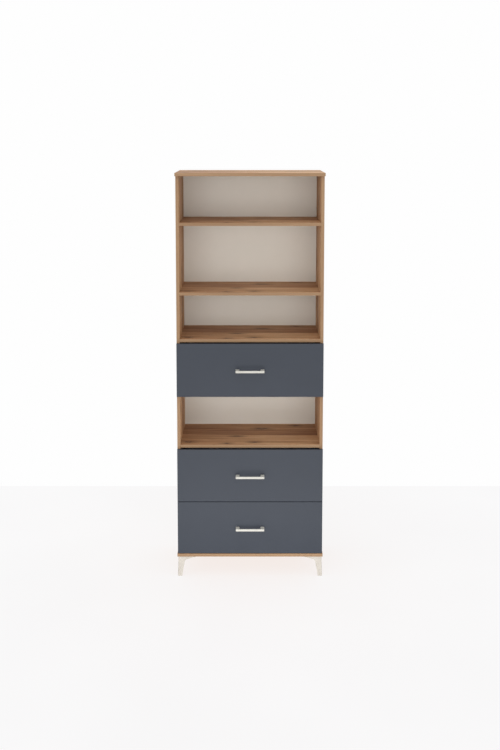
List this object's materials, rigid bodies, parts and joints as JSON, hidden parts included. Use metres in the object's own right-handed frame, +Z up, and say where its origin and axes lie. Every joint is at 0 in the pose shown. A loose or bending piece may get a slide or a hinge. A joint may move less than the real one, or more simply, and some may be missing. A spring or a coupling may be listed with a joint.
{
  "type": "bookcase with drawers",
  "caption": "Tall free-standing bookcase with open bays, full-width drawers on telescopic runners, oak-look boards, slate-grey drawer fronts, bow handles and corner legs.",
  "frame": {"origin": "on the floor, under the middle of the whole object's box, handles included", "axes": "+Z up, +Y to the back (the drawers open towards -Y), +X to the right as seen from the front"},
  "size_m": [0.756, 0.435, 2.1],
  "materials": {
    "oak_laminate": "matt oak-grain laminate on chipboard",
    "slate_laminate": "satin slate-grey laminate on chipboard",
    "cream_back": "smooth cream-coated hardboard",
    "cream_metal": "satin cream powder coat",
    "handle_metal": "satin cream powder coat",
    "box_laminate": "white melamine on chipboard",
    "box_sheet": "white-coated hardboard",
    "runner_steel": "zinc-plated rolled sheet",
    "zinc": "nickel-plated",
    "screw_steel": "zinc-plated",
    "beech": "plain fluted beech"
  },
  "bodies": {
    "carcass": {"back_panel": "cream_back", "bottom_panel": "oak_laminate", "cam_fittings": "zinc", "drawer_1_rail_left": "runner_steel", "drawer_1_rail_right": "runner_steel", "drawer_2_rail_left": "runner_steel", "drawer_2_rail_right": "runner_steel", "drawer_3_rail_left": "runner_steel", "drawer_3_rail_right": "runner_steel", "drawer_deck": "oak_laminate", "leg_front_left": "cream_metal", "leg_front_right": "cream_metal", "leg_rear_left": "cream_metal", "leg_rear_right": "cream_metal", "leg_screws": "screw_steel", "rail_screws": "screw_steel", "shelf_bay": "oak_laminate", "shelf_lower": "oak_laminate", "shelf_middle": "oak_laminate", "shelf_upper": "oak_laminate", "side_left": "oak_laminate", "side_right": "oak_laminate", "top_panel": "oak_laminate", "wood_dowels": "beech"},
    "drawer_1": {"drawer_1_back": "box_laminate", "drawer_1_bottom": "box_sheet", "drawer_1_box_screws": "screw_steel", "drawer_1_front": "slate_laminate", "drawer_1_handle": "handle_metal", "drawer_1_handle_screws": "screw_steel", "drawer_1_inner_front": "box_laminate", "drawer_1_side_left": "box_laminate", "drawer_1_side_right": "box_laminate", "drawer_1_slide_left": "runner_steel", "drawer_1_slide_right": "runner_steel"},
    "drawer_1_mids": {"drawer_1_mid_rails": "runner_steel"},
    "drawer_2": {"drawer_2_back": "box_laminate", "drawer_2_bottom": "box_sheet", "drawer_2_box_screws": "screw_steel", "drawer_2_front": "slate_laminate", "drawer_2_handle": "handle_metal", "drawer_2_handle_screws": "screw_steel", "drawer_2_inner_front": "box_laminate", "drawer_2_side_left": "box_laminate", "drawer_2_side_right": "box_laminate", "drawer_2_slide_left": "runner_steel", "drawer_2_slide_right": "runner_steel"},
    "drawer_2_mids": {"drawer_2_mid_rails": "runner_steel"},
    "drawer_3": {"drawer_3_back": "box_laminate", "drawer_3_bottom": "box_sheet", "drawer_3_box_screws": "screw_steel", "drawer_3_front": "slate_laminate", "drawer_3_handle": "handle_metal", "drawer_3_handle_screws": "screw_steel", "drawer_3_inner_front": "box_laminate", "drawer_3_side_left": "box_laminate", "drawer_3_side_right": "box_laminate", "drawer_3_slide_left": "runner_steel", "drawer_3_slide_right": "runner_steel"},
    "drawer_3_mids": {"drawer_3_mid_rails": "runner_steel"}
  },
  "joints": [
    {"name": "drawer_1_slide", "type": "slide", "parent": "carcass", "child": "drawer_1", "axis": [0, -1, 0], "range_m": [0, 0.35]},
    {"name": "drawer_1_mid_slide", "type": "slide", "parent": "carcass", "child": "drawer_1_mids", "axis": [0, -1, 0], "range_m": [0, 0.175]},
    {"name": "drawer_2_slide", "type": "slide", "parent": "carcass", "child": "drawer_2", "axis": [0, -1, 0], "range_m": [0, 0.35]},
    {"name": "drawer_2_mid_slide", "type": "slide", "parent": "carcass", "child": "drawer_2_mids", "axis": [0, -1, 0], "range_m": [0, 0.175]},
    {"name": "drawer_3_slide", "type": "slide", "parent": "carcass", "child": "drawer_3", "axis": [0, -1, 0], "range_m": [0, 0.35]},
    {"name": "drawer_3_mid_slide", "type": "slide", "parent": "carcass", "child": "drawer_3_mids", "axis": [0, -1, 0], "range_m": [0, 0.175]}
  ],
  "couplings": [
    {"joint": "drawer_1_mid_slide", "follows": "drawer_1_slide", "ratio": 0.5},
    {"joint": "drawer_2_mid_slide", "follows": "drawer_2_slide", "ratio": 0.5},
    {"joint": "drawer_3_mid_slide", "follows": "drawer_3_slide", "ratio": 0.5}
  ]
}
